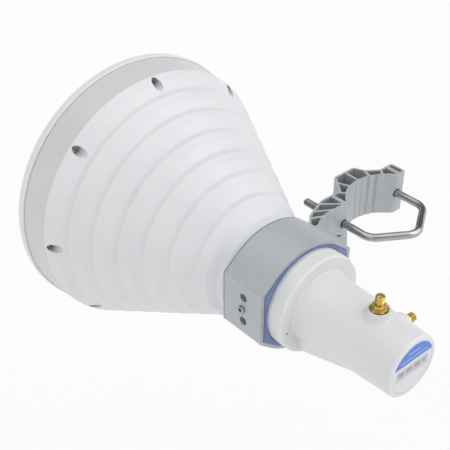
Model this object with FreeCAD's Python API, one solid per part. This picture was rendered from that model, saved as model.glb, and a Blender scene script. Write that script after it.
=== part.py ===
import FreeCAD
import Part
import math
import os

V = FreeCAD.Vector
ORIGIN = V(0, 0, 0)
X_AXIS = V(1, 0, 0)
Y_AXIS = V(0, 1, 0)
Z_AXIS = V(0, 0, 1)
BACKWARD = V(0, -1, 0)
TINY = 1e-6
os.makedirs("parts", exist_ok=True)

# Driving dimensions, in millimetres
# The horn's axis is Y with the mouth towards +Y, and y = 0 is the seam between shell and cap.
# The pole runs along Z. Everything is moved at export so that the pole's axis is the origin.

# Horn: a round neck, a cone of stepped rings and a flange
NECK_R = 36.0
NECK_WALL = 4.0
LAST_CONE = 4.89
RING_COUNT = 7
RING_PITCH = 17.07
RING_LAND = 7.0
RING_STEEP = 5.6
RING_FILLET = 2.4
RING_ROOT = 3.0
RING_CREST = 1.6
RING_SLOPE = 0.523
HORN_WALL = 3.7
FLANGE_LEN = 24.2
FLANGE_FLARE = 1.55
FLANGE_WIDTH = 14.6
SEAM_DEPTH = 1.6
SEAM_GAP = 0.45

# Screws that hold the cap, from pockets in the back of the flange
SCREW_COUNT = 8
SCREW_INSET = 5.6
POCKET_R = 3.5
POCKET_FLOOR = 22.2
SCREW_R = 1.5
SCREW_GRIP = 4.2
SCREW_HEAD_R = 2.75
SCREW_HEAD_H = 3.0
SCREW_SOCKET = 2.5
SCREW_SOCKET_DEPTH = 1.6
SCREW_CLEARANCE = 0.1

# Cap: a shallow dome with a rounded rim and a lip inside the mouth
CAP_OVERHANG = 1.4
CAP_EDGE = 6.2
CAP_ROUND = 1.6
CAP_CHAMFER = 0.6
SHOULDER_INSET = 8.0
SHOULDER_RISE = 1.1
DOME_RISE = 4.2
CAP_WALL = 2.4
LIP_LEN = 5.0
LIP_WALL = 3.2
LIP_ROUND = 0.8
LIP_CLEARANCE = 0.2

# Flat gasket under the cap
GASKET_INSET = 2.2
GASKET_WIDTH = 2.0
GASKET_T = 1.8
GASKET_CLEARANCE = 0.1

# Collar on the neck, with its liner
BAND_GAP = 1.0
BAND_LEN = 35.0
BAND_WALL = 2.7
BAND_SIDE_WALL = 3.4
BAND_ARC_DROP = 7.2
BAND_KNEE_ANGLE = 39.67
BAND_ROUND = 3.0
LINER_TOP = 1.1
LINER_SIDE = 1.7
LINER_LIP = 0.95
LINER_REAR_LIP = 0.9
LINER_GROOVE = 0.35
LINER_GROOVE_DEPTH = 0.9
HOLE_FROM_BACK = 16.6
HOLE_SPREAD = 9.7
HOLE_R = 3.15
HOLE_RELIEF = 2.4
HOLE_CLEARANCE = 0.25
SET_SCREW_R = 2.8
SET_SCREW_SHIFT = 0.9
SET_SCREW_PROUD = 2.0
SET_SCREW_EDGE = 0.4
SET_SCREW_SOCKET = 2.5
SET_SCREW_DEPTH = 2.0

# Rear housing: spigot in the neck, ring, tapered tube and the web underneath
NECK_PAST_BAND = 2.3
SEAM_LINE_DEPTH = 0.35
SEAM_LINE_WIDTH = 0.45
RING_LEN = 10.7
RING_ROUND = 1.7
SPIGOT_LEN = 33.9
SPIGOT_WALL = 2.2
FUNNEL_PAST_SEAM = 5.1
NECK_SEAL_SETBACK = 16.9
NECK_SEAL_DEPTH = 1.4
NECK_SEAL_WIDTH = 1.8
NECK_SEAL_CLEARANCE = 0.3
TUBE_LEN = 77.6
TUBE_R = 24.9
TUBE_TAPER = 2.95
TUBE_WALL = 2.95
TUBE_ROUND = 3.0
TUBE_ROOT = 1.6
END_WALL = 4.2
WEB_HALF_W = 21.0
WEB_FOOT = 16.0
WEB_DROP = 8.1
WEB_LEN = 47.0
WEB_ROUND = 4.0
WEEP_R = 0.9
WEEP_DEPTH = 3.0
WEEP_ANGLE = 195.0
SHORT_INSET = 7.2
SHORT_T = 2.0
LABEL_RIM = 3.55
LABEL_T = 0.4
LABEL_RECESS = 0.5
LABEL_CLEARANCE = 0.25

# Coaxial ports on bosses, one up and one sideways
PORT_FROM_END = 30.0
BOSS_R = 7.6
BOSS_DRAFT = 0.5
BOSS_RISE = 4.2
BOSS_FILLET = 1.2
BOSS_RIM = 1.25
BOSS_RECESS = 2.0
PORT_STUB_R = 3.4
PORT_STUB_SETBACK = 0.4
PORT_BODY_R = 3.0
PORT_FLANGE_FLATS = 9.8
PORT_FLANGE_H = 2.5
PORT_FLANGE_BEVEL = 0.4
PORT_NUT_FLATS = 8.2
PORT_NUT_H = 3.3
PORT_NUT_BEVEL = 0.8
PORT_UNDERCUT_R = 2.65
PORT_UNDERCUT = 1.6
PORT_THREAD_R = 3.175
PORT_THREAD_LEN = 4.5
PORT_CHAMFER = 0.3
PORT_SOCKET_R = 2.3
PORT_SOCKET_DEPTH = 2.0
PORT_INSULATOR_R = 2.1
PORT_PIN_R = 0.65
PORT_PIN_BORE_R = 0.35
PORT_PIN_BORE = 2.4
PORT_PIN_SETBACK = 1.2
PROBE_LEN = 11.0

# Pole clamp: a celled extrusion that reaches from the collar's flat to the pole
POLE_R = 25.4
ARM_LEN = 39.2
CLAMP_HALF_H = 17.5
CLAMP_LEAD = 20.0
SADDLE_SPREAD = 9.0
SADDLE_MARGIN = 2.1
ARM_DEPTH = 15.1
TOE_REACH = 28.0
TOE_START = 14.0
TOE_BULGE = 1.2
SKIN = 1.5
LEG_WEB = 3.3
THICK_WEB = 2.2
THIN_WEB = 1.8
CELL_ROUND = 0.35
CREST_RISE = 15.7
KNEE_RISE = 6.4
WING_PAST_LEG = 6.9
WING_ROUND = 2.0
FOOT_LEAD = 3.6
FOOT_SETBACK = 3.0
FOOT_PLATE = 5.3
WEDGE_REACH = 16.7
WEDGE_H = 15.0
WEDGE_CELL = 3.4
TOOTH_COUNT = 4
TOOTH_PITCH = 5.9
TOOTH_START = -1.9
TOOTH_HALF_W = 1.3
TOOTH_DEPTH = 1.0
SHALLOW_TEETH = 2
SHALLOW_SCALE = 0.5
TIP_ROUND = 6.0
TIP_RUN = 3.0
SERRATION_COUNT = 5
SERRATION_PITCH = 2.9
SERRATION_DEPTH = 0.9

# V-bolt with its washers and nuts, and the screws that hold the clamp to the collar
ROD_R = 3.0
ROD_CLEARANCE = 0.6
LEG_CLEARANCE = 2.3
LEG_PAST_WING = 24.6
V_ANGLE = 32.55
V_CLEARANCE = 0.35
BEND_R = 12.0
WASHER_R = 5.6
WASHER_T = 1.6
NUT_FLATS = 10.0
NUT_H = 5.2
NUT_BEVEL = 1.4
CLAMP_SCREW_R = 3.0
CLAMP_SCREW_REACH = 12.0
CLAMP_SCREW_HEAD_R = 6.2
CLAMP_SCREW_HEAD_H = 3.2
CLAMP_SCREW_SOCKET = 4.0
CLAMP_SCREW_SOCKET_DEPTH = 2.0

# Places along the horn, worked out from the sizes
last_ring = -FLANGE_LEN - RING_COUNT * RING_PITCH
neck_front = last_ring - LAST_CONE
band_front = neck_front - BAND_GAP
band_back = band_front - BAND_LEN
hole_y = band_back + HOLE_FROM_BACK
neck_end = band_back - NECK_PAST_BAND
ring_back = neck_end - RING_LEN
tube_end = ring_back - TUBE_LEN
port_y = tube_end + PORT_FROM_END
funnel_end = neck_end - FUNNEL_PAST_SEAM

# Radii of the horn and its housing
neck_bore_r = NECK_R - NECK_WALL
flange_back_r = NECK_R + RING_SLOPE * (RING_COUNT * RING_PITCH + LAST_CONE)
seam_r = flange_back_r + FLANGE_FLARE
mouth_r = seam_r - FLANGE_WIDTH
cap_r = seam_r + CAP_OVERHANG
screw_circle_r = seam_r - SCREW_INSET
tube_bore_r = TUBE_R - TUBE_TAPER - TUBE_WALL
label_r = TUBE_R - TUBE_TAPER - LABEL_RIM

# Collar, pole and clamp
band_half_w = NECK_R + LINER_SIDE + BAND_SIDE_WALL
band_half_h = NECK_R + LINER_TOP + BAND_WALL
leg_offset = POLE_R + ROD_R + LEG_CLEARANCE
near_leg = band_half_w + ARM_LEN
pole_x = near_leg + leg_offset
far_leg = pole_x + leg_offset
wing_y = band_front + CLAMP_LEAD
pole_y = wing_y - POLE_R
saddle_r = POLE_R + SADDLE_SPREAD
saddle_centre_y = pole_y - SADDLE_SPREAD
saddle_half = POLE_R + SADDLE_MARGIN
under_y = wing_y - ARM_DEPTH


def rounded(points, closed):
    """Start, middle and end of the arc at each corner of a path of (u, v, radius)."""
    corners = []
    n = len(points)
    for i in range(n):
        u, v = points[i][0], points[i][1]
        r = points[i][2] if len(points[i]) > 2 else 0.0
        at_end = not closed and i in (0, n - 1)
        if r <= 0.0 or at_end:
            corners.append(((u, v), None, (u, v)))
            continue
        before = points[i - 1]
        after = points[(i + 1) % n]
        to_before = math.hypot(before[0] - u, before[1] - v)
        to_after = math.hypot(after[0] - u, after[1] - v)
        au, av = (before[0] - u) / to_before, (before[1] - v) / to_before
        cu, cv = (after[0] - u) / to_after, (after[1] - v) / to_after
        half = math.acos(max(-1.0, min(1.0, au * cu + av * cv))) / 2.0
        trim = min(r / math.tan(half), 0.49 * to_before, 0.49 * to_after)
        r = trim * math.tan(half)
        middle_u, middle_v = au + cu, av + cv
        length = math.hypot(middle_u, middle_v)
        reach = (r / math.sin(half) - r) / length
        corners.append((
            (u + au * trim, v + av * trim),
            (u + middle_u * reach, v + middle_v * reach),
            (u + cu * trim, v + cv * trim),
        ))
    return corners


def wire(points, place, closed=True, bends=None):
    """Wire through (u, v, corner radius); bends gives, for a corner, what the next stretch arcs through."""
    bends = bends or {}
    corners = rounded(points, closed)
    stretches = len(corners) if closed else len(corners) - 1
    edges = []
    for i, (start, middle, end) in enumerate(corners):
        if middle is not None:
            edges.append(Part.Arc(place(*start), place(*middle), place(*end)).toShape())
        if i >= stretches:
            continue
        following = corners[(i + 1) % len(corners)][0]
        if i in bends:
            edges.append(Part.Arc(place(*end), place(*bends[i]), place(*following)).toShape())
        elif math.hypot(following[0] - end[0], following[1] - end[1]) > TINY:
            edges.append(Part.makeLine(place(*end), place(*following)))
    return Part.Wire(edges)


def turned(points, bends=None):
    """Solid turned about the horn's axis from (radius, y, corner radius)."""
    face = Part.Face(wire(points, lambda r, y: V(r, y, 0), bends=bends))
    return face.revolve(ORIGIN, Y_AXIS, 360)


def turned_z(points):
    """Solid turned about Z from (radius, z, corner radius)."""
    face = Part.Face(wire(points, lambda r, z: V(r, 0, z)))
    return face.revolve(ORIGIN, Z_AXIS, 360)


def flat_face(points, bends=None):
    """Face at the clamp's lower side from (x, y, corner radius)."""
    return Part.Face(wire(points, lambda x, y: V(x, y, -CLAMP_HALF_H), bends=bends))


def through(face):
    """The face extruded over the clamp's height and past both ends."""
    tall = face.extrude(Z_AXIS * (2 * CLAMP_HALF_H + 2.0))
    tall.translate(-Z_AXIS)
    return tall


def cyl(radius, start, direction, length):
    return Part.makeCylinder(radius, length, start, direction)


def hexagon(across_flats, start, direction, length):
    """Hexagonal prism along any axis."""
    radius = across_flats / 2.0 / math.cos(math.radians(30))
    corners = [V(radius, 0, 0)]
    for i in range(6):
        angle = math.radians(60 * (i + 1))
        corners.append(V(radius * math.cos(angle), radius * math.sin(angle), 0))
    solid = Part.Face(Part.makePolygon(corners)).extrude(Z_AXIS * length)
    solid.Placement = FreeCAD.Placement(start, FreeCAD.Rotation(Z_AXIS, direction))
    return solid


def cut(body, tools):
    return body.cut(Part.makeCompound(tools)).removeSplitter()


def save(node, shape):
    """Moves the shape to the pole's frame and writes its file."""
    moved = shape.copy()
    moved.translate(V(-pole_x, -pole_y, 0))
    moved.exportStep("parts/" + node + ".step")
    print(node, "solids", len(moved.Solids), "valid", moved.isValid(), "volume", round(moved.Volume, 1))


# Stations of the stepped cone
def ring_y(k):
    return -FLANGE_LEN - RING_PITCH * k


def cone_r(y):
    return flange_back_r + RING_SLOPE * (y + FLANGE_LEN)


def cone_y(radius):
    return (radius - flange_back_r) / RING_SLOPE - FLANGE_LEN


def screw_places():
    places = []
    for i in range(SCREW_COUNT):
        angle = 2 * math.pi * i / SCREW_COUNT
        places.append(V(screw_circle_r * math.cos(angle), 0, screw_circle_r * math.sin(angle)))
    return places


# Horn shell: flange, stepped rings and neck, with a smooth cone inside
def horn_shell():
    seam_floor_r = seam_r - SEAM_DEPTH
    profile = [(mouth_r, 0.0), (seam_floor_r, 0.0), (seam_floor_r, -SEAM_GAP), (seam_r, -SEAM_GAP)]
    for k in range(RING_COUNT):
        y = ring_y(k)
        next_r = cone_r(ring_y(k + 1))
        profile.append((cone_r(y), y, RING_ROOT if k else 0.0))
        profile.append((cone_r(y - RING_LAND), y - RING_LAND, RING_CREST))
        profile.append((next_r, y - RING_LAND - RING_STEEP, RING_FILLET))
    profile += [
        (cone_r(last_ring), last_ring), (NECK_R, neck_front),
        (NECK_R, neck_end + 2 * SEAM_LINE_WIDTH), (NECK_R - SEAM_LINE_DEPTH, neck_end + 2 * SEAM_LINE_WIDTH),
        (NECK_R - SEAM_LINE_DEPTH, neck_end + SEAM_LINE_WIDTH), (NECK_R, neck_end + SEAM_LINE_WIDTH),
        (NECK_R, neck_end), (neck_bore_r, neck_end),
    ]
    inset = HORN_WALL + RING_SLOPE * (RING_PITCH - RING_LAND - RING_STEEP)
    profile += [(neck_bore_r, cone_y(neck_bore_r + inset)), (mouth_r, cone_y(mouth_r + inset))]
    seat_r = mouth_r + GASKET_INSET - GASKET_CLEARANCE
    seat_width = GASKET_WIDTH + 2 * GASKET_CLEARANCE
    seat_floor = -GASKET_T - GASKET_CLEARANCE
    tools = [turned([(seat_r, 1.0), (seat_r + seat_width, 1.0), (seat_r + seat_width, seat_floor),
                     (seat_r, seat_floor)])]
    pocket_len = 1.0 - ring_y(1) - POCKET_FLOOR
    for place in screw_places():
        tools.append(cyl(POCKET_R, place - Y_AXIS * POCKET_FLOOR, BACKWARD, pocket_len))
        tools.append(cyl(SCREW_R + SCREW_CLEARANCE, place + Y_AXIS, BACKWARD, POCKET_FLOOR + 2.0))
    for side in (-1, 1):
        relief = V(-NECK_R - 1.0, hole_y, side * HOLE_SPREAD)
        tools.append(cyl(HOLE_R + HOLE_CLEARANCE, relief, X_AXIS, HOLE_RELIEF + 1.0))
    return cut(turned(profile), tools)


# Front cap: rim, shallow dome and a lip that sits inside the mouth
def radome():
    shoulder_r = cap_r - SHOULDER_INSET
    shoulder_y = CAP_EDGE + SHOULDER_RISE
    top = shoulder_y + DOME_RISE
    dome_r = (shoulder_r ** 2 + DOME_RISE ** 2) / (2 * DOME_RISE)
    lip_r = mouth_r - LIP_CLEARANCE
    inner_r = lip_r - LIP_WALL

    def dome_y(radius, inset):
        return top - dome_r + math.sqrt((dome_r - inset) ** 2 - radius ** 2)

    profile = [
        (0.0, top), (shoulder_r, shoulder_y), (cap_r, CAP_EDGE, CAP_ROUND), (cap_r, CAP_CHAMFER),
        (cap_r - CAP_CHAMFER, 0.0), (lip_r, 0.0), (lip_r, -LIP_LEN, LIP_ROUND), (inner_r, -LIP_LEN, LIP_ROUND),
        (inner_r, dome_y(inner_r, CAP_WALL)), (0.0, top - CAP_WALL),
    ]
    bends = {
        0: (shoulder_r / 2, dome_y(shoulder_r / 2, 0.0)),
        8: (inner_r / 2, dome_y(inner_r / 2, CAP_WALL)),
    }
    holes = [cyl(SCREW_R, place - Y_AXIS, Y_AXIS, SCREW_GRIP + 1.0 + SCREW_CLEARANCE)
             for place in screw_places()]
    return cut(turned(profile, bends), holes)


def radome_seal():
    inner = mouth_r + GASKET_INSET
    return turned([(inner, 0.0), (inner + GASKET_WIDTH, 0.0), (inner + GASKET_WIDTH, -GASKET_T),
                   (inner, -GASKET_T)])


def radome_screws():
    solids = []
    for place in screw_places():
        seat = place - Y_AXIS * POCKET_FLOOR
        head = cyl(SCREW_HEAD_R, seat, BACKWARD, SCREW_HEAD_H)
        shank = cyl(SCREW_R, seat, Y_AXIS, POCKET_FLOOR + SCREW_GRIP)
        socket = hexagon(SCREW_SOCKET, seat - Y_AXIS * SCREW_HEAD_H, Y_AXIS, SCREW_SOCKET_DEPTH)
        solids.append(head.fuse(shank).cut(socket).removeSplitter())
    return Part.makeCompound(solids)


def tube_r(y):
    return TUBE_R - TUBE_TAPER * (ring_back - y) / TUBE_LEN


# Heights along a port's axis, measured from the horn's axis
boss_top = tube_r(port_y) + BOSS_RISE
port_seat = boss_top - BOSS_RECESS
port_flange_top = port_seat + PORT_FLANGE_H
port_nut_top = port_flange_top + PORT_NUT_H
port_thread_start = port_nut_top + PORT_UNDERCUT
port_tip = port_thread_start + PORT_THREAD_LEN
port_root = tube_bore_r + PORT_STUB_SETBACK


def web_under_tube():
    """Tapered web between the ring and the tube's underside."""
    tail_y = ring_back - WEB_LEN
    tail_depth = math.sqrt(tube_r(tail_y) ** 2 - WEB_FOOT ** 2)
    root = tail_depth / 2
    sections = []
    for y, depth in ((ring_back + RING_LEN / 4, TUBE_R + WEB_DROP), (tail_y, tail_depth)):
        corners = [(-WEB_HALF_W, -root), (-WEB_FOOT, -depth, WEB_ROUND), (WEB_FOOT, -depth, WEB_ROUND),
                   (WEB_HALF_W, -root)]
        sections.append(wire(corners, lambda x, z, y=y: V(x, y, z)))
    return Part.makeLoft(sections, True, True)


def meets_tube(edge, axis):
    """Whether an edge runs where a boss along the axis meets the tube."""
    first, last = edge.ParameterRange
    for share in (0.1, 0.5, 0.9):
        point = edge.valueAt(first + share * (last - first))
        from_tube = abs(math.hypot(point.x, point.z) - tube_r(point.y))
        across = point - V(0, port_y, 0)
        along = across.dot(axis)
        from_axis = (across - axis * along).Length
        if from_tube > 0.02 or along < 0.0 or not BOSS_R - 0.1 < from_axis < BOSS_R + BOSS_DRAFT + 0.1:
            return False
    return True


# Rear housing: spigot, ring, tapered tube, two bosses and the web underneath
def rear_housing():
    end_r = TUBE_R - TUBE_TAPER
    seat_r = label_r + LABEL_CLEARANCE
    seat_y = tube_end + LABEL_RECESS
    line_r = NECK_R - SEAM_LINE_DEPTH
    body = turned([
        (0.0, seat_y), (seat_r, seat_y), (seat_r, tube_end),
        (end_r, tube_end, TUBE_ROUND), (TUBE_R, ring_back, TUBE_ROOT), (NECK_R, ring_back, RING_ROUND),
        (NECK_R, neck_end - SEAM_LINE_WIDTH), (line_r, neck_end - SEAM_LINE_WIDTH), (line_r, neck_end),
        (neck_bore_r, neck_end), (neck_bore_r, neck_end + SPIGOT_LEN),
        (neck_bore_r - SPIGOT_WALL, neck_end + SPIGOT_LEN), (tube_bore_r, funnel_end), (0.0, funnel_end),
    ])
    body = body.fuse(web_under_tube())
    boss_root = tube_bore_r / 2
    for axis in (Z_AXIS, X_AXIS):
        base = V(0, port_y, 0) + axis * boss_root
        body = body.fuse(Part.makeCone(BOSS_R + BOSS_DRAFT, BOSS_R, boss_top - boss_root, base, axis))
    body = body.removeSplitter()
    seams = [e for e in body.Edges if meets_tube(e, Z_AXIS) or meets_tube(e, X_AXIS)]
    body = body.makeFillet(BOSS_FILLET, seams)
    tools = [cyl(tube_bore_r, V(0, funnel_end + 1.0, 0), BACKWARD, funnel_end + 1.0 - tube_end - END_WALL)]
    for axis in (Z_AXIS, X_AXIS):
        seat = V(0, port_y, 0) + axis * port_seat
        tools.append(cyl(BOSS_R - BOSS_RIM, seat, axis, BOSS_RECESS + 1.0))
        tools.append(cyl(PORT_STUB_R, seat, -axis, port_seat - boss_root))
    angle = math.radians(WEEP_ANGLE)
    weep_r = (TUBE_R + NECK_R) / 2
    weep = V(weep_r * math.cos(angle), ring_back - 1.0, weep_r * math.sin(angle))
    tools.append(cyl(WEEP_R, weep, Y_AXIS, WEEP_DEPTH + 1.0))
    floor_r = neck_bore_r - NECK_SEAL_DEPTH
    front = neck_end + NECK_SEAL_SETBACK
    back = front - NECK_SEAL_WIDTH - 2 * NECK_SEAL_CLEARANCE
    tools.append(turned([(floor_r, front), (NECK_R, front), (NECK_R, back), (floor_r, back)]))
    return cut(body, tools)


def neck_seal():
    floor_r = neck_bore_r - NECK_SEAL_DEPTH
    front = neck_end + NECK_SEAL_SETBACK - NECK_SEAL_CLEARANCE
    back = front - NECK_SEAL_WIDTH
    return turned([(floor_r, front), (neck_bore_r, front), (neck_bore_r, back), (floor_r, back)])


# Plate that shorts the waveguide at the tube's closed end
def back_short():
    return cyl(tube_bore_r, V(0, tube_end + SHORT_INSET, 0), Y_AXIS, SHORT_T)


def rear_label():
    return cyl(label_r, V(0, tube_end + LABEL_RECESS, 0), BACKWARD, LABEL_T)


# Coaxial port: its pieces are made along +Z and turned to the boss's axis
def on_port(shape, axis):
    placed = shape.copy()
    placed.Placement = FreeCAD.Placement(V(0, port_y, 0), FreeCAD.Rotation(Z_AXIS, axis)).multiply(placed.Placement)
    return placed


def port_barrel():
    socket_floor = port_tip - PORT_SOCKET_DEPTH
    return turned_z([
        (PORT_INSULATOR_R, port_root), (PORT_STUB_R, port_root), (PORT_STUB_R, port_seat),
        (PORT_BODY_R, port_seat), (PORT_BODY_R, port_nut_top), (PORT_UNDERCUT_R, port_nut_top),
        (PORT_UNDERCUT_R, port_thread_start), (PORT_THREAD_R, port_thread_start + PORT_CHAMFER),
        (PORT_THREAD_R, port_tip - PORT_CHAMFER), (PORT_THREAD_R - PORT_CHAMFER, port_tip),
        (PORT_SOCKET_R, port_tip), (PORT_SOCKET_R, socket_floor), (PORT_INSULATOR_R, socket_floor),
    ])


def port_hexagon(across_flats, low, top, bevel):
    """Hexagon round the barrel, bevelled on its upper corners at the given slope."""
    flats_r = across_flats / 2
    wide_r = across_flats
    body = hexagon(across_flats, V(0, 0, low), Z_AXIS, top - low)
    bevelled = turned_z([
        (PORT_BODY_R, low), (wide_r, low), (wide_r, top - bevel * (wide_r - flats_r)), (flats_r, top),
        (PORT_BODY_R, top),
    ])
    return body.common(bevelled).removeSplitter()


def port_flange():
    return port_hexagon(PORT_FLANGE_FLATS, port_seat, port_flange_top, PORT_FLANGE_BEVEL)


def port_nut():
    return port_hexagon(PORT_NUT_FLATS, port_flange_top, port_nut_top, PORT_NUT_BEVEL)


def port_insulator():
    top = port_tip - PORT_SOCKET_DEPTH
    return turned_z([(PORT_PIN_R, port_root), (PORT_INSULATOR_R, port_root), (PORT_INSULATOR_R, top),
                     (PORT_PIN_R, top)])


def port_pin():
    low = tube_bore_r - PROBE_LEN
    top = port_tip - PORT_PIN_SETBACK
    pin = cyl(PORT_PIN_R, Z_AXIS * low, Z_AXIS, top - low)
    return pin.cut(cyl(PORT_PIN_BORE_R, Z_AXIS * top, -Z_AXIS, PORT_PIN_BORE))


# Collar section in X and Z: two flats, four slants and a shallow arc above and below
def band_face(side_inset, top_inset, y):
    half_w = band_half_w - side_inset
    arc_r = band_half_h + BAND_ARC_DROP - top_inset
    knee = math.radians(BAND_KNEE_ANGLE)
    knee_x = arc_r * math.sin(knee)
    knee_z = arc_r * math.cos(knee) - BAND_ARC_DROP
    flat_z = knee_z - math.tan(knee) * (half_w - knee_x)
    top = band_half_h - top_inset
    corners = [(half_w, -flat_z), (half_w, flat_z), (knee_x, knee_z), (-knee_x, knee_z), (-half_w, flat_z),
               (-half_w, -flat_z), (-knee_x, -knee_z), (knee_x, -knee_z)]
    return Part.Face(wire(corners, lambda x, z: V(x, y, z), bends={2: (0.0, top), 6: (0.0, -top)}))


def band_prism(side_inset, top_inset, front, back):
    return band_face(side_inset, top_inset, front).extrude(BACKWARD * (front - back))


def side_bores():
    """The two spare holes and the set screw's hole in the collar's left flat."""
    start = -band_half_w - 1.0
    length = band_half_w + 1.0 - neck_bore_r
    bores = [cyl(SET_SCREW_R, V(start, hole_y + SET_SCREW_SHIFT, 0.0), X_AXIS, length)]
    for side in (-1, 1):
        bores.append(cyl(HOLE_R, V(start, hole_y, side * HOLE_SPREAD), X_AXIS, length))
    return bores


def mounting_band():
    body = band_prism(0.0, 0.0, band_front, band_back)
    corners = []
    for edge in body.Edges:
        box = edge.BoundBox
        if box.YLength > BAND_LEN / 2 and abs(abs(edge.CenterOfMass.x) - band_half_w) < 0.01:
            corners.append(edge)
    body = body.makeFillet(BAND_ROUND, corners)
    tools = side_bores()
    tools.append(band_prism(BAND_SIDE_WALL, BAND_WALL, band_front + 1.0, band_back - 1.0))
    tools.append(band_prism(BAND_SIDE_WALL - LINER_GROOVE, BAND_WALL - LINER_GROOVE,
                            band_back + LINER_GROOVE_DEPTH, band_back - 1.0))
    inside = band_half_w - BAND_SIDE_WALL
    for side in (-1, 1):
        start = V(inside, hole_y, side * HOLE_SPREAD)
        tools.append(Part.makeCone(CLAMP_SCREW_HEAD_R, CLAMP_SCREW_R, CLAMP_SCREW_HEAD_H, start, X_AXIS))
        tools.append(cyl(CLAMP_SCREW_R, start, X_AXIS, BAND_SIDE_WALL + 1.0))
    return cut(body, tools)


def band_liner():
    body = band_prism(BAND_SIDE_WALL, BAND_WALL, band_front, band_back - LINER_REAR_LIP)
    body = body.fuse(band_prism(0.0, 0.0, band_front + LINER_LIP, band_front))
    tools = side_bores()
    tools.append(cyl(NECK_R, V(0, band_front + 2.0, 0), BACKWARD, BAND_LEN + 4.0))
    tools.append(cyl(NECK_R + LINER_GROOVE, V(0, band_back + LINER_REAR_LIP, 0), BACKWARD, BAND_LEN))
    return cut(body, tools)


def band_set_screw():
    start = V(-band_half_w - SET_SCREW_PROUD, hole_y + SET_SCREW_SHIFT, 0.0)
    edge = Part.makeCone(SET_SCREW_R - SET_SCREW_EDGE, SET_SCREW_R, SET_SCREW_EDGE, start, X_AXIS)
    body = cyl(SET_SCREW_R, start + X_AXIS * SET_SCREW_EDGE, X_AXIS, -NECK_R - start.x - SET_SCREW_EDGE)
    return edge.fuse(body).cut(hexagon(SET_SCREW_SOCKET, start, X_AXIS, SET_SCREW_DEPTH)).removeSplitter()


# Pole clamp
def saddle_y(x):
    return saddle_centre_y + math.sqrt(saddle_r ** 2 - (x - pole_x) ** 2)


def clamp_outline(smallest):
    """Outline of the extrusion, with only the corner radii from the smallest up."""
    foot = band_half_w
    foot_top = band_front + FOOT_LEAD
    foot_end = band_back + FOOT_SETBACK
    wedge_y = foot_end + WEDGE_H
    wing_end = far_leg + WING_PAST_LEG
    toe_start_x = pole_x - TOE_START
    toe_x = pole_x - TOE_REACH
    middle_x = (toe_start_x + toe_x) / 2
    middle_y = (saddle_y(toe_start_x) + under_y) / 2 + TOE_BULGE
    end_x = pole_x + saddle_half - TIP_RUN
    end_y = saddle_y(end_x)
    tip_y = saddle_y(pole_x + saddle_half)
    tip_x = end_x + (end_y - tip_y) * (end_y - saddle_centre_y) / (end_x - pole_x)
    crest_y = wing_y + CREST_RISE
    points = [
        (end_x, end_y), (tip_x, tip_y, TIP_ROUND), (wing_end, tip_y, 0.6), (wing_end, wing_y, WING_ROUND),
        (far_leg - WASHER_R - 0.9, wing_y, 2.0), (pole_x + leg_offset / 2, wing_y + KNEE_RISE, 5.0),
        (pole_x + leg_offset * 0.352, crest_y, 2.6), (pole_x - leg_offset * 0.326, crest_y, 1.5),
        (near_leg + 9.3, wing_y, 2.2), (near_leg - 10.3, wing_y, 14.0), (foot + 8.9, wing_y - 7.8, 20.0),
        (foot, foot_top, 1.5), (foot, foot_end, 0.6), (foot + 3.1, foot_end + 2.4, 0.6),
        (foot + WEDGE_REACH, wedge_y, 0.8), (foot + WEDGE_REACH - 1.0, wedge_y + 2.2, 0.8),
        (foot + FOOT_PLATE + 0.2, wedge_y + 1.8, 1.5), (foot + FOOT_PLATE - 0.2, wing_y - 20.8, 7.5),
        (foot + 18.5, under_y, 6.0), (toe_x, under_y + 0.2), (toe_start_x, saddle_y(toe_start_x)),
    ]
    kept = [p if len(p) > 2 and p[2] >= smallest else p[:2] for p in points]
    crown = (pole_x, saddle_centre_y + saddle_r)
    return flat_face(kept, bends={len(kept) - 2: (middle_x, middle_y), len(kept) - 1: crown})


def clamp_webs():
    """Webs across the extrusion as (start, end, thickness), each from the outer skin to the inner one."""
    foot = band_half_w
    crest_y = wing_y + CREST_RISE
    foot_middle = foot + WEDGE_REACH / 2
    return [
        ((far_leg + 0.5, wing_y + 1.0), (far_leg + 0.5, under_y), LEG_WEB),
        ((pole_x + 26.2, wing_y + 1.6), (pole_x + 18.6, wing_y - 8.4), THIN_WEB),
        ((pole_x + 15.0, wing_y + 9.1), (pole_x + 10.8, wing_y - 2.0), THICK_WEB),
        ((pole_x + 0.9, crest_y), (pole_x + 0.5, wing_y), THIN_WEB),
        ((pole_x - 14.8, wing_y + 10.6), (pole_x - 10.3, wing_y - 1.4), THIN_WEB),
        ((near_leg + 6.0, wing_y), (near_leg + 13.6, wing_y - 7.7), THIN_WEB),
        ((near_leg + 0.6, wing_y + 1.0), (near_leg + 0.6, under_y), LEG_WEB),
        ((near_leg - 17.3, wing_y), (near_leg - 0.2, wing_y - 14.3), THIN_WEB),
        ((foot + 10.2, wing_y - 4.1), (foot + 28.0, wing_y - 14.4), THIN_WEB),
        ((foot + 2.9, wing_y - 9.2), (foot + 18.0, wing_y - 16.4), THICK_WEB),
        ((foot_middle, wing_y - 19.6), (foot_middle, band_back), WEDGE_REACH + FOOT_PLATE),
    ]


def bar(start, end, thickness):
    """Strip of the given thickness round a line in the clamp's lower plane."""
    length = math.hypot(end[0] - start[0], end[1] - start[1])
    side_x = (start[1] - end[1]) / length * thickness / 2
    side_y = (end[0] - start[0]) / length * thickness / 2
    return flat_face([
        (start[0] + side_x, start[1] + side_y), (end[0] + side_x, end[1] + side_y),
        (end[0] - side_x, end[1] - side_y), (start[0] - side_x, start[1] - side_y),
    ])


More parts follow.
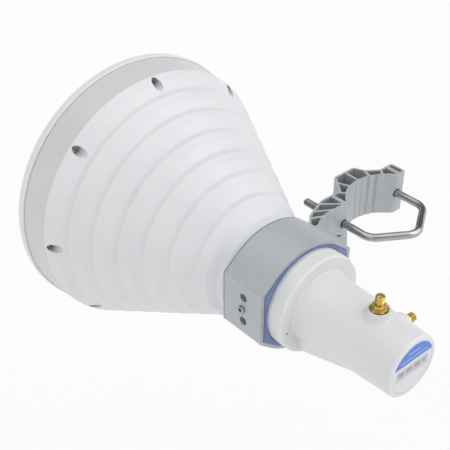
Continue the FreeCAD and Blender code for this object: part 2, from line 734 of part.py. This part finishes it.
def clamp_cells():
    """Cells left between the skin and the webs, with rounded corners."""
    hollow = clamp_outline(5.0).makeOffset2D(-SKIN)
    webs = [bar(*web) for web in clamp_webs()]
    corner_x = band_half_w + FOOT_PLATE
    corner_y = band_back + FOOT_SETBACK + WEDGE_H
    cells = [flat_face([
        (corner_x, corner_y + 0.1, CELL_ROUND), (corner_x + WEDGE_CELL, corner_y - 2.6, CELL_ROUND),
        (corner_x - 0.3, corner_y - 3.1, CELL_ROUND),
    ])]
    for cell in hollow.cut(Part.makeCompound(webs)).Faces:
        if cell.Area > WEDGE_CELL ** 2:
            cells.append(cell.makeOffset2D(-CELL_ROUND).makeOffset2D(CELL_ROUND))
    return cells


def tooth(x, scale):
    """V groove that starts at the saddle's face and points away from the pole."""
    depth = TOOTH_DEPTH * scale
    out_x = (x - pole_x) / saddle_r
    out_y = (saddle_y(x) - saddle_centre_y) / saddle_r
    mouth_x = x - out_x * depth
    mouth_y = saddle_y(x) - out_y * depth
    half_x = out_y * TOOTH_HALF_W * scale * 2
    half_y = out_x * TOOTH_HALF_W * scale * 2
    return flat_face([
        (mouth_x - half_x, mouth_y + half_y), (mouth_x + half_x, mouth_y - half_y),
        (x + out_x * depth, saddle_y(x) + out_y * depth),
    ])


def pole_clamp():
    body = clamp_outline(0.0).extrude(Z_AXIS * 2 * CLAMP_HALF_H)
    tools = [through(cell) for cell in clamp_cells()]
    for i in range(TOOTH_COUNT):
        scale = SHALLOW_SCALE if i < SHALLOW_TEETH else 1.0
        tools.append(through(tooth(pole_x + TOOTH_START + TOOTH_PITCH * i, scale)))
    crest_y = wing_y + CREST_RISE
    for i in range(SERRATION_COUNT):
        x = pole_x + SERRATION_PITCH * (i - SERRATION_COUNT / 2)
        half = SERRATION_PITCH * 0.28
        tools.append(through(flat_face([(x - half, crest_y + 0.1), (x + half, crest_y + 0.1),
                                        (x, crest_y - SERRATION_DEPTH)])))
    for leg in (near_leg, far_leg):
        tools.append(cyl(ROD_R + ROD_CLEARANCE, V(leg, wing_y + 1.0, 0), BACKWARD, CLAMP_LEAD + POLE_R))
    for side in (-1, 1):
        start = V(band_half_w - 1.0, hole_y, side * HOLE_SPREAD)
        tools.append(cyl(CLAMP_SCREW_R, start, X_AXIS, CLAMP_SCREW_REACH + 2.0))
    return cut(body, tools)


def clamp_screws():
    solids = []
    inside = band_half_w - BAND_SIDE_WALL
    for side in (-1, 1):
        start = V(inside, hole_y, side * HOLE_SPREAD)
        head = Part.makeCone(CLAMP_SCREW_HEAD_R, CLAMP_SCREW_R, CLAMP_SCREW_HEAD_H, start, X_AXIS)
        shank = cyl(CLAMP_SCREW_R, start, X_AXIS, BAND_SIDE_WALL + CLAMP_SCREW_REACH)
        socket = hexagon(CLAMP_SCREW_SOCKET, start, X_AXIS, CLAMP_SCREW_SOCKET_DEPTH)
        solids.append(head.fuse(shank).cut(socket).removeSplitter())
    return Part.makeCompound(solids)


# V-bolt: two straight legs, two bends and the apex that presses on the pole
def v_bolt():
    slope = math.radians(V_ANGLE)
    apex_y = pole_y - (POLE_R + V_CLEARANCE + ROD_R) / math.cos(slope)
    bend_y = apex_y + leg_offset * math.tan(slope)
    end_y = wing_y + LEG_PAST_WING
    points = [(near_leg, end_y), (near_leg, bend_y, BEND_R), (pole_x, apex_y, BEND_R),
              (far_leg, bend_y, BEND_R), (far_leg, end_y)]
    spine = wire(points, lambda x, y: V(x, y, 0), closed=False)
    ring = Part.Wire(Part.makeCircle(ROD_R, V(near_leg, end_y, 0), BACKWARD))
    return spine.makePipeShell([ring], True, False)


def clamp_washers():
    solids = []
    for leg in (near_leg, far_leg):
        at = V(leg, wing_y, 0)
        ring = cyl(WASHER_R, at, Y_AXIS, WASHER_T)
        solids.append(ring.cut(cyl(ROD_R, at, Y_AXIS, WASHER_T)))
    return Part.makeCompound(solids)


def clamp_nuts():
    solids = []
    corner_r = NUT_FLATS / 2 / math.cos(math.radians(30))
    for leg in (near_leg, far_leg):
        at = V(leg, wing_y + WASHER_T, 0)
        top = at + Y_AXIS * (NUT_H - NUT_BEVEL)
        bevelled = cyl(corner_r + NUT_BEVEL / 2, at, Y_AXIS, NUT_H - NUT_BEVEL)
        bevelled = bevelled.fuse(Part.makeCone(corner_r + NUT_BEVEL / 2, NUT_FLATS / 2, NUT_BEVEL, top, Y_AXIS))
        nut = hexagon(NUT_FLATS, at, Y_AXIS, NUT_H).common(bevelled)
        solids.append(nut.cut(cyl(ROD_R, at, Y_AXIS, NUT_H)).removeSplitter())
    return Part.makeCompound(solids)


save("horn_shell", horn_shell())
save("radome", radome())
save("radome_seal", radome_seal())
save("radome_screws", radome_screws())
save("rear_housing", rear_housing())
save("neck_seal", neck_seal())
save("back_short", back_short())
save("rear_label", rear_label())
for port, direction in (("top_port", Z_AXIS), ("side_port", X_AXIS)):
    save(port + "_barrel", on_port(port_barrel(), direction))
    save(port + "_flange", on_port(port_flange(), direction))
    save(port + "_nut", on_port(port_nut(), direction))
    save(port + "_insulator", on_port(port_insulator(), direction))
    save(port + "_pin", on_port(port_pin(), direction))
save("mounting_band", mounting_band())
save("band_liner", band_liner())
save("band_set_screw", band_set_screw())
save("pole_clamp", pole_clamp())
save("clamp_screws", clamp_screws())
save("v_bolt", v_bolt())
save("clamp_washers", clamp_washers())
save("clamp_nuts", clamp_nuts())
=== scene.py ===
import math

import bmesh
import bpy
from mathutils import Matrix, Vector


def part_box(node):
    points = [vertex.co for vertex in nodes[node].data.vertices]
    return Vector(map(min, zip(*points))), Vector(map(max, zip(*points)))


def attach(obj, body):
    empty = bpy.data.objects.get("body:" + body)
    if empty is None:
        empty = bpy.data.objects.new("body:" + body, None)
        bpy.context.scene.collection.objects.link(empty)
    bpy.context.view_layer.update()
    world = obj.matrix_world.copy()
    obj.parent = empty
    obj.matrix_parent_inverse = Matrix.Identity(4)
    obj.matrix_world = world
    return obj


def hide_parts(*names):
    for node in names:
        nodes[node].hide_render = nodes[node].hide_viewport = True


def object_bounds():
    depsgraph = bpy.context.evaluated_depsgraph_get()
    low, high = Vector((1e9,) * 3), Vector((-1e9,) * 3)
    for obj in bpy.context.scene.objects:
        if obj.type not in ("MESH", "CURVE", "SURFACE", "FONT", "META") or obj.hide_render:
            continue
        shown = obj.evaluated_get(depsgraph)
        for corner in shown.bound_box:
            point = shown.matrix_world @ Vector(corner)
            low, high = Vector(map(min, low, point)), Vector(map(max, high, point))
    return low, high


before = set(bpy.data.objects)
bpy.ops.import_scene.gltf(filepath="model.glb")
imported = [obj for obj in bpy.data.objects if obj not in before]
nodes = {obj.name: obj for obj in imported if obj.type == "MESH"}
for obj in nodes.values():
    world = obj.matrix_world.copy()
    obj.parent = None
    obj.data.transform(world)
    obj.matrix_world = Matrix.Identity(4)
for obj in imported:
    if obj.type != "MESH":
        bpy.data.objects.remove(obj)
cad_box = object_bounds()

# Camera, as the photograph was taken
CAMERA_PLACE = Vector((-0.46488, -0.35214, 0.39257))
CAMERA_AZIMUTH = math.radians(-41.216)
CAMERA_ELEVATION = math.radians(35.176)
CAMERA_LENS = 74.02
CAMERA_NEAR = 0.01
SENSOR_WIDTH = 36.0

# Floor, far enough below to take no sharp shadow
FLOOR_DROP = 0.45
FLOOR_SIZE = 8.0
FLOOR_ROUGHNESS = 0.9
FLOOR_NOISE_SCALE = 2.0

# Brightness of the sky by the sine of the angle above the horizon
SKY_TOP = 1.36
SKY_LEVELS = ((0.05, 1.0), (0.5, 0.06), (0.9, SKY_TOP))

# Soft lamps: direction towards each, and its strength
LAMP_SPREAD = 1.0
LAMPS = {
    "behind": ((0.3, -0.88, 0.38), 0.35),
    "right": ((0.6, -0.5, 0.6), 1.1),
    "left": ((-0.9, -0.2, 0.35), 0.65),
}

# Darkest and lightest shade of each material
SHELL_SHADES = ((0.605, 0.617, 0.634), (0.63, 0.640, 0.657))
CAP_SHADES = ((0.655, 0.667, 0.682), (0.68, 0.691, 0.707))
HOUSING_SHADES = ((0.626, 0.628, 0.636), (0.648, 0.650, 0.658))
BLASTED_SHADES = ((0.380, 0.400, 0.414), (0.480, 0.502, 0.518))
STEEL_SHADES = ((0.375, 0.37, 0.365), (0.42, 0.415, 0.41))
GOLD_SHADES = ((0.55, 0.405, 0.105), (0.65, 0.485, 0.145))
LINER_SHADES = ((0.13, 0.18, 0.36), (0.16, 0.215, 0.41))
RUBBER_SHADES = ((0.02, 0.02, 0.022), (0.035, 0.035, 0.038))
INSULATOR_SHADES = ((0.78, 0.77, 0.74), (0.84, 0.83, 0.81))
FLOOR_SHADES = ((0.870, 0.870, 0.870), (0.875, 0.875, 0.875))

# Colours of the label's film and of its inks, and how far their shade wanders
LABEL_FILM = (0.59, 0.602, 0.63)
BLUE_INK = (0.05, 0.165, 0.56)
PALE_INK = (0.33, 0.44, 0.70)
PANEL_INK = (0.465, 0.475, 0.49)
FRAME_INK = (0.29, 0.295, 0.30)
BLOCK_INK = (0.27, 0.275, 0.28)
DARKER_INK = 0.975
LIGHTER_INK = 1.025

# Noise: octaves of detail, and the part of its range that runs from the dark shade to the light one
TONE_DETAIL = 3.0
FINE_DETAIL = 2.0
TONE_LOW = 0.35
TONE_HIGH = 0.65

# Blasted metal: noise scales of its speckle, extrusion lines and gloss, and the range of each effect
BLASTED_METALLIC = 0.35
SPECKLE_SCALE = 1500.0
LINE_SCALE = 900.0
GLOSS_SCALE = 700.0
BLASTED_ROUGHNESS = (0.42, 0.60)
BLASTED_BUMP = (0.25, 0.00008)
ALONG_BAND = (1.0, 0.1, 1.0)
ALONG_CLAMP = (1.0, 1.0, 0.04)

# Sockets of a Mix node, which repeat their names and so go by number
MIX_FACTOR = 0
FLOAT_A = 2
FLOAT_B = 3
FLOAT_RESULT = 0
COLOUR_A = 6
COLOUR_B = 7
COLOUR_RESULT = 2

# Rim of the horn behind its cap, a shade darker than the steps: painted shade, multiplied into the
# shell's colour
RIM_START = 0.1308
RIM_BLEND = 0.0006
RIM_PAINTED_SHADE = 0.885

# V-bolt
ROD_R = 0.0030
V_SLOPE = math.radians(32.55)
BEND_R = 0.0120
BEND_STEPS = 14
ROD_SIDES = 36
BOLT_THREAD_LEN = 0.034
BOLT_THREAD_PITCH = 0.0010
BOLT_THREAD_DEPTH = 0.00058
BOLT_FADE_TURNS = 2
BOLT_CHAMFER = 0.0008

# Barrels of the coaxial ports, by radius and by depth below the tip
PORT_AXES = {"top_port": Vector((0, 0, 1)), "side_port": Vector((1, 0, 0))}
PORT_SIDES = 48
STUB_R = 0.0034
SEAT_DEPTH = 0.0119
BODY_R = 0.0030
NUT_DEPTH = 0.0061
UNDERCUT_R = 0.00265
PORT_THREAD_LEN = 0.0045
PORT_THREAD_R = 0.003175
PORT_THREAD_PITCH = 0.000706
PORT_THREAD_DEPTH = 0.00038
PORT_LEAD = 0.0004
SOCKET_R = 0.0023
SOCKET_DEPTH = 0.0020
INSULATOR_R = 0.0021

# V threads: rings of vertices in each turn, and how much of the pitch is crest and root
ROWS_PER_TURN = 8
CREST_SHARE = 0.125
ROOT_SHARE = 0.25

# Print on the round label, in metres from its middle: left, right, bottom and top
PRINT_SINK = 0.000005
FILM_T = 0.00002
FRAME_T = 0.00003
RAISED_T = 0.00004
FIELD_FLOOR = 0.0060
FIELD_INSET = 0.0001
FIELD_STEPS = 48
LOW_RULE = (-0.0127, 0.0127, 0.0087, 0.0094)
HIGH_RULE = (-0.0053, 0.0053, 0.0127, 0.0135)
PANEL = (-0.0144, 0.0144, -0.0042, 0.0029)
PANEL_EDGE = 0.0004
BLOCK_SPANS = ((-0.0132, -0.0080), (-0.0061, -0.0005), (0.0018, 0.0072), (0.0095, 0.0120))
BLOCK_LOW = -0.0016
BLOCK_HIGH = 0.0017

SHARP_ANGLE = math.radians(32)


def add_camera():
    data = bpy.data.cameras.new("photo_camera")
    data.lens = CAMERA_LENS
    data.sensor_width = SENSOR_WIDTH
    data.clip_start = CAMERA_NEAR
    camera = bpy.data.objects.new("photo_camera", data)
    bpy.context.scene.collection.objects.link(camera)
    ahead = Vector((
        -math.sin(CAMERA_AZIMUTH) * math.cos(CAMERA_ELEVATION),
        math.cos(CAMERA_AZIMUTH) * math.cos(CAMERA_ELEVATION),
        -math.sin(CAMERA_ELEVATION),
    ))
    camera.location = CAMERA_PLACE
    camera.rotation_euler = ahead.to_track_quat("-Z", "Y").to_euler()
    bpy.context.scene.camera = camera


# Materials
def new_material(name, metallic=0.0):
    material = bpy.data.materials.new(name)
    material.use_nodes = True
    tree = material.node_tree
    tree.nodes.clear()
    shader = tree.nodes.new("ShaderNodeBsdfPrincipled")
    shader.inputs["Metallic"].default_value = metallic
    output = tree.nodes.new("ShaderNodeOutputMaterial")
    tree.links.new(shader.outputs["BSDF"], output.inputs["Surface"])
    return material, tree, shader


def noise_of(tree, scale, detail, stretch=(1.0, 1.0, 1.0)):
    """Noise in the object's own metres, so its grain keeps its real size."""
    place = tree.nodes.new("ShaderNodeTexCoord")
    mapping = tree.nodes.new("ShaderNodeMapping")
    mapping.inputs["Scale"].default_value = stretch
    noise = tree.nodes.new("ShaderNodeTexNoise")
    noise.inputs["Scale"].default_value = scale
    noise.inputs["Detail"].default_value = detail
    tree.links.new(place.outputs["Object"], mapping.inputs["Vector"])
    tree.links.new(mapping.outputs["Vector"], noise.inputs["Vector"])
    return noise.outputs["Fac"]


def blended(tree, first, second, share):
    """Two noises in one, with the given share of the second."""
    mix = tree.nodes.new("ShaderNodeMix")
    mix.data_type = "FLOAT"
    mix.inputs[MIX_FACTOR].default_value = share
    tree.links.new(first, mix.inputs[FLOAT_A])
    tree.links.new(second, mix.inputs[FLOAT_B])
    return mix.outputs[FLOAT_RESULT]


def tint(tree, shader, factor, shades):
    """Colours the surface between two close shades by a noise."""
    dark, light = shades
    ramp = tree.nodes.new("ShaderNodeValToRGB")
    ramp.color_ramp.elements[0].position = TONE_LOW
    ramp.color_ramp.elements[0].color = (*dark, 1.0)
    ramp.color_ramp.elements[1].position = TONE_HIGH
    ramp.color_ramp.elements[1].color = (*light, 1.0)
    tree.links.new(factor, ramp.inputs["Fac"])
    tree.links.new(ramp.outputs["Color"], shader.inputs["Base Color"])


def roughen(tree, shader, factor, low, high):
    """Lets the roughness wander between two values by a noise."""
    spread = tree.nodes.new("ShaderNodeMapRange")
    spread.inputs["To Min"].default_value = low
    spread.inputs["To Max"].default_value = high
    tree.links.new(factor, spread.inputs["Value"])
    tree.links.new(spread.outputs["Result"], shader.inputs["Roughness"])


def emboss(tree, shader, factor, strength, distance):
    """Raises a fine grain by a noise."""
    bump = tree.nodes.new("ShaderNodeBump")
    bump.inputs["Strength"].default_value = strength
    bump.inputs["Distance"].default_value = distance
    tree.links.new(factor, bump.inputs["Height"])
    tree.links.new(bump.outputs["Normal"], shader.inputs["Normal"])


def surface(name, shades, tone, gloss, grain, metallic=0.0, shade_rim=False):
    """Material with a noise each for its shade, its gloss and its grain.

    tone is the scale of the first noise. gloss is the scale of the second and the least and most
    roughness. grain is the scale of the third and the strength and height of the bump.
    """
    material, tree, shader = new_material(name, metallic)
    gloss_scale, smoothest, roughest = gloss
    grain_scale, strength, height = grain
    tint(tree, shader, noise_of(tree, tone, TONE_DETAIL), shades)
    roughen(tree, shader, noise_of(tree, gloss_scale, FINE_DETAIL), smoothest, roughest)
    emboss(tree, shader, noise_of(tree, grain_scale, FINE_DETAIL), strength, height)
    # painted shade on the rim of the shell
    if shade_rim:
        paint_rim_shade(tree, shader)
    return material


def paint_rim_shade(tree, shader):
    """Paints shade on the rim: makes it a shade darker than the rest of the shell."""
    place = tree.nodes.new("ShaderNodeTexCoord")
    parts = tree.nodes.new("ShaderNodeSeparateXYZ")
    step = tree.nodes.new("ShaderNodeMapRange")
    step.inputs["From Min"].default_value = RIM_START
    step.inputs["From Max"].default_value = RIM_START + RIM_BLEND
    mix = tree.nodes.new("ShaderNodeMix")
    mix.data_type = "RGBA"
    mix.blend_type = "MULTIPLY"
    mix.inputs[COLOUR_B].default_value = (RIM_PAINTED_SHADE, RIM_PAINTED_SHADE, RIM_PAINTED_SHADE, 1.0)
    colour = shader.inputs["Base Color"].links[0].from_socket
    tree.links.new(place.outputs["Object"], parts.inputs["Vector"])
    tree.links.new(parts.outputs["Y"], step.inputs["Value"])
    tree.links.new(step.outputs["Result"], mix.inputs[MIX_FACTOR])
    tree.links.new(colour, mix.inputs[COLOUR_A])
    tree.links.new(mix.outputs[COLOUR_RESULT], shader.inputs["Base Color"])


def moulded_plastic(name, shades, shade_rim=False):
    """Satin moulded plastic with a very fine eroded grain."""
    return surface(
        name, shades, tone=30.0, gloss=(90.0, 0.40, 0.50), grain=(2600.0, 0.10, 0.00006), shade_rim=shade_rim)


def blasted_metal(name, lines, stretch):
    """Light grey blasted metal: fine speckle, with a share of lines along the extrusion."""
    material, tree, shader = new_material(name, BLASTED_METALLIC)
    speckle = noise_of(tree, SPECKLE_SCALE, TONE_DETAIL)
    grain = blended(tree, speckle, noise_of(tree, LINE_SCALE, FINE_DETAIL, stretch), lines)
    tint(tree, shader, grain, BLASTED_SHADES)
    roughen(tree, shader, noise_of(tree, GLOSS_SCALE, FINE_DETAIL), *BLASTED_ROUGHNESS)
    emboss(tree, shader, grain, *BLASTED_BUMP)
    return material


def printed_film(name, colour):
    """Film or ink on the label, with a slight unevenness round its colour."""
    dark = tuple(DARKER_INK * c for c in colour)
    light = tuple(min(1.0, LIGHTER_INK * c) for c in colour)
    return surface(
        name, (dark, light), tone=400.0, gloss=(100.0, 0.28, 0.36), grain=(1200.0, 0.04, 0.00003))


def dress(material, *names):
    """Gives CAD nodes a material in place of their own."""
    for name in names:
        mesh = nodes[name].data
        if mesh.materials:
            for i in range(len(mesh.materials)):
                nodes[name].material_slots[i].material = material
        else:
            mesh.materials.append(material)


# Pieces that this script adds
def add_piece(name, verts, faces, material, slot, *replaced):
    """A mesh that rides on the body, and stands for the nodes that it replaces."""
    mesh = bpy.data.meshes.new(name)
    mesh.from_pydata(verts, [], faces)
    shaping = bmesh.new()
    shaping.from_mesh(mesh)
    bmesh.ops.recalc_face_normals(shaping, faces=shaping.faces)
    shaping.to_mesh(mesh)
    shaping.free()
    mesh.materials.append(material)
    mesh.polygons.foreach_set("use_smooth", [True] * len(mesh.polygons))
    mesh.set_sharp_from_angle(angle=SHARP_ANGLE)
    piece = bpy.data.objects.new(name, mesh)
    bpy.context.scene.collection.objects.link(piece)
    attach(piece, "root")
    if replaced:
        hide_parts(*replaced)


def ring_faces(rows, sides, closed_loop):
    """Quads between rings of vertices; the rows join up, or both ends are capped."""
    faces = []
    for i in range(rows if closed_loop else rows - 1):
        low = i * sides
        high = (i + 1) % rows * sides
        for j in range(sides):
            k = (j + 1) % sides
            faces.append((low + j, high + j, high + k, low + k))
    if not closed_loop:
        faces.append(tuple(range(sides)))
        faces.append(tuple(range((rows - 1) * sides, rows * sides)))
    return faces


def thread_dip(turns, depth):
    """How far a V thread lies below its crest, this many turns along it."""
    share = turns % 1.0
    from_crest = 2.0 * min(share, 1.0 - share)
    slope = (from_crest - CREST_SHARE) / (1.0 - CREST_SHARE - ROOT_SHARE)
    return depth * min(1.0, max(0.0, slope))


def bend(corner, before, after):
    """Points and headings round one corner of the V-bolt."""
    turn = before.angle(after)
    side = 1.0 if before.x * after.y - before.y * after.x > 0 else -1.0
    start = corner - before * BEND_R * math.tan(turn / 2)
    centre = start + Vector((-before.y, before.x, 0.0)) * side * BEND_R
    stations = []
    for step in range(BEND_STEPS + 1):
        angle = side * turn * step / BEND_STEPS
        heading = Vector((
            before.x * math.cos(angle) - before.y * math.sin(angle),
            before.x * math.sin(angle) + before.y * math.cos(angle),
            0.0,
        ))
        out = Vector((heading.y, -heading.x, 0.0)) * side
        stations.append((centre + out * BEND_R, heading))
    return stations


def bolt_path():
    """Centre line of the V-bolt: place, heading, distance from the nearer end, and way along the thread.

    That way counts up along the heading on both legs, so both threads have the same hand.
    """
    low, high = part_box("v_bolt")
    level = (low[2] + high[2]) / 2
    near_x = low[0] + ROD_R
    far_x = high[0] - ROD_R
    middle_x = (near_x + far_x) / 2
    apex_y = low[1] + ROD_R - BEND_R * (1.0 / math.cos(V_SLOPE) - 1.0)
    bend_y = apex_y + (middle_x - near_x) * math.tan(V_SLOPE)
    corners = [Vector((x, y, level)) for x, y in (
        (near_x, high[1]), (near_x, bend_y), (middle_x, apex_y), (far_x, bend_y), (far_x, high[1]),
    )]
    headings = [(corners[i + 1] - corners[i]).normalized() for i in range(len(corners) - 1)]
    steps = round(BOLT_THREAD_LEN / BOLT_THREAD_PITCH * ROWS_PER_TURN)
    runs = [BOLT_THREAD_LEN * k / steps for k in range(steps + 1)]
    path = [(corners[0] + headings[0] * s, headings[0], s, s) for s in runs]
    for i in range(1, len(corners) - 1):
        for place, heading in bend(corners[i], headings[i - 1], headings[i]):
            path.append((place, heading, BOLT_THREAD_LEN, 0.0))
    for s in reversed(runs):
        path.append((corners[-1] - headings[-1] * s, headings[-1], s, -s))
    return path


def add_v_bolt(material):
    """The whole V-bolt, with its rolled threads as a real helix."""
    verts = []
    path = bolt_path()
    fade = BOLT_FADE_TURNS * BOLT_THREAD_PITCH
    for place, heading, from_end, along in path:
        across = Vector((-heading.y, heading.x, 0.0))
        depth = BOLT_THREAD_DEPTH * min(1.0, (BOLT_THREAD_LEN - from_end) / fade)
        most = ROD_R - max(0.0, BOLT_CHAMFER - from_end)
        for j in range(ROD_SIDES):
            turn = j / ROD_SIDES
            angle = 2 * math.pi * turn
            r = min(most, ROD_R - thread_dip(along / BOLT_THREAD_PITCH - turn, depth))
            up = Vector((0.0, 0.0, r * math.sin(angle)))
            verts.append(place + across * (r * math.cos(angle)) + up)
    faces = ring_faces(len(path), ROD_SIDES, False)
    add_piece("v_bolt_rod", verts, faces, material, "stainless", "v_bolt")


def add_barrel(node, axis, material):
    """Barrel of a coaxial port with its coupling thread, turned about the port's own axis."""
    low, high = (Vector(corner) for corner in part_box(node))
    length = (high - low).dot(axis)
    tip = (low + high) / 2 + axis * length / 2
    side = Vector((0.0, 1.0, 0.0))
    other = axis.cross(side)
    steps = round(PORT_THREAD_LEN / PORT_THREAD_PITCH * ROWS_PER_TURN)
    rows = [
        (INSULATOR_R, length), (STUB_R, length), (STUB_R, SEAT_DEPTH), (BODY_R, SEAT_DEPTH),
        (BODY_R, NUT_DEPTH), (UNDERCUT_R, NUT_DEPTH), (UNDERCUT_R, PORT_THREAD_LEN),
    ]
    rows += [(PORT_THREAD_R, PORT_THREAD_LEN * (1 - k / steps)) for k in range(steps + 1)]
    rows += [(SOCKET_R, 0.0), (SOCKET_R, SOCKET_DEPTH), (INSULATOR_R, SOCKET_DEPTH)]
    verts = []
    for radius, depth in rows:
        most = radius - max(0.0, PORT_LEAD - min(depth, PORT_THREAD_LEN - depth))
        for j in range(PORT_SIDES):
            turn = j / PORT_SIDES
            angle = 2 * math.pi * turn
            r = radius
            if radius == PORT_THREAD_R:
                dip = thread_dip(depth / PORT_THREAD_PITCH + turn, PORT_THREAD_DEPTH)
                r = min(most, radius - dip)
            out = side * (r * math.cos(angle)) + other * (r * math.sin(angle))
            verts.append(tip - axis * depth + out)
    faces = ring_faces(len(rows), PORT_SIDES, True)
    add_piece(node + "_turned", verts, faces, material, "port_gold", node)


def rectangle(left, right, bottom, top):
    return [(left, bottom), (right, bottom), (right, top), (left, top)]


def add_plates(name, outlines, height, material):
    """Flat prints on the label's face, one prism for each outline of (x, z)."""
    low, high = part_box("rear_label")
    middle_x = (low[0] + high[0]) / 2
    middle_z = (low[2] + high[2]) / 2
    verts = []
    faces = []
    for outline in outlines:
        start = len(verts)
        count = len(outline)
        for y in (low[1] + PRINT_SINK, low[1] - height):
            verts += [(middle_x + x, y, middle_z + z) for x, z in outline]
        faces.append(tuple(range(start, start + count)))
        faces.append(tuple(range(start + count, start + 2 * count)))
        for j in range(count):
            k = (j + 1) % count
            faces.append((start + j, start + k, start + count + k, start + count + j))
    add_piece(name, verts, faces, material, "label")


def add_print():
    """A coloured field, two plain rules and a framed panel with four blocks."""
    low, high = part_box("rear_label")
    radius = (high[0] - low[0]) / 2 - FIELD_INSET
    first = math.asin(FIELD_FLOOR / radius)
    segment = []
    for k in range(FIELD_STEPS + 1):
        angle = first + (math.pi - 2 * first) * k / FIELD_STEPS
        segment.append((radius * math.cos(angle), radius * math.sin(angle)))
    left, right, bottom, top = PANEL
    borders = [
        rectangle(left, right, bottom, bottom + PANEL_EDGE),
        rectangle(left, right, top - PANEL_EDGE, top),
        rectangle(left, left + PANEL_EDGE, bottom, top),
        rectangle(right - PANEL_EDGE, right, bottom, top),
    ]
    blocks = [rectangle(a, b, BLOCK_LOW, BLOCK_HIGH) for a, b in BLOCK_SPANS]
    rules = [rectangle(*LOW_RULE), rectangle(*HIGH_RULE)]
    panel = [rectangle(*PANEL)]
    add_plates("label_field", [segment], FILM_T, printed_film("blue_ink", BLUE_INK))
    add_plates("label_rules", rules, RAISED_T, printed_film("pale_ink", PALE_INK))
    add_plates("label_panel", panel, FILM_T, printed_film("panel_ink", PANEL_INK))
    add_plates("label_frame", borders, FRAME_T, printed_film("frame_ink", FRAME_INK))
    add_plates("label_blocks", blocks, RAISED_T, printed_film("block_ink", BLOCK_INK))


# Studio
def add_lamp(name, toward_light, strength):
    """Soft light from far away, so that the floor is lit evenly."""
    data = bpy.data.lights.new(name, "SUN")
    data.energy = strength
    data.angle = LAMP_SPREAD
    light = bpy.data.objects.new(name, data)
    light.rotation_euler = (-Vector(toward_light)).to_track_quat("-Z", "Y").to_euler()
    bpy.context.scene.collection.objects.link(light)


def add_sky():
    """White light from the horizon and overhead, and a dark band between for bright metal to show."""
    world = bpy.data.worlds.new("studio_world")
    world.use_nodes = True
    tree = world.node_tree
    place = tree.nodes.new("ShaderNodeTexCoord")
    parts = tree.nodes.new("ShaderNodeSeparateXYZ")
    ramp = tree.nodes.new("ShaderNodeValToRGB")
    tree.links.new(place.outputs["Generated"], parts.inputs["Vector"])
    tree.links.new(parts.outputs["Z"], ramp.inputs["Fac"])
    ramp.color_ramp.interpolation = "EASE"
    ramp.color_ramp.elements.new(SKY_LEVELS[1][0])
    for element, (height, level) in zip(ramp.color_ramp.elements, SKY_LEVELS):
        share = level / SKY_TOP
        element.position = height
        element.color = (share, share, share, 1.0)
    background = tree.nodes["Background"]
    tree.links.new(ramp.outputs["Color"], background.inputs["Color"])
    background.inputs["Strength"].default_value = SKY_TOP
    bpy.context.scene.world = world


def add_floor():
    level = cad_box[0][2] - FLOOR_DROP
    half = FLOOR_SIZE / 2
    mesh = bpy.data.meshes.new("floor")
    corners = [(x, y, level) for x, y in rectangle(-half, half, -half, half)]
    mesh.from_pydata(corners, [], [(0, 1, 2, 3)])
    floor = bpy.data.objects.new("floor", mesh)
    bpy.context.scene.collection.objects.link(floor)
    material, tree, shader = new_material("pale_floor")
    tint(tree, shader, noise_of(tree, FLOOR_NOISE_SCALE, FINE_DETAIL), FLOOR_SHADES)
    shader.inputs["Roughness"].default_value = FLOOR_ROUGHNESS
    mesh.materials.append(material)


add_camera()
add_sky()
for lamp, (toward, strength) in LAMPS.items():
    add_lamp(lamp, toward, strength)
add_floor()
bpy.context.scene.view_settings.view_transform = "Standard"

stainless = surface(
    "polished_steel", STEEL_SHADES, tone=120.0, gloss=(60.0, 0.17, 0.23), grain=(900.0, 0.04, 0.00003),
    metallic=1.0)
plated = surface(
    "gold_plate", GOLD_SHADES, tone=200.0, gloss=(300.0, 0.24, 0.32), grain=(1500.0, 0.04, 0.00003),
    metallic=0.88)
fluoroplastic = surface(
    "white_fluoroplastic", INSULATOR_SHADES,
    tone=300.0, gloss=(300.0, 0.35, 0.45), grain=(1800.0, 0.05, 0.00003))
rubber = surface(
    "dark_rubber", RUBBER_SHADES, tone=200.0, gloss=(200.0, 0.6, 0.8), grain=(1800.0, 0.2, 0.00005))
liner = surface(
    "blue_liner", LINER_SHADES, tone=80.0, gloss=(120.0, 0.45, 0.60), grain=(1800.0, 0.10, 0.00005))

# The shell's rim carries painted shade in its colour.
dress(moulded_plastic("shell_white", SHELL_SHADES, shade_rim=True), "horn_shell")
dress(moulded_plastic("cap_white", CAP_SHADES), "radome")
dress(moulded_plastic("housing_white", HOUSING_SHADES), "rear_housing")
dress(blasted_metal("band_metal", lines=0.12, stretch=ALONG_BAND), "mounting_band")
dress(blasted_metal("clamp_metal", lines=0.3, stretch=ALONG_CLAMP), "pole_clamp")
dress(stainless, "v_bolt", "clamp_washers", "clamp_nuts", "clamp_screws", "band_set_screw",
      "radome_screws", "back_short")
dress(rubber, "radome_seal", "neck_seal")
dress(liner, "band_liner")
dress(printed_film("label_film", LABEL_FILM), "rear_label")
for port, axis in PORT_AXES.items():
    dress(plated, port + "_barrel", port + "_flange", port + "_nut", port + "_pin")
    dress(fluoroplastic, port + "_insulator")
    add_barrel(port + "_barrel", axis, plated)
add_v_bolt(stainless)
add_print()
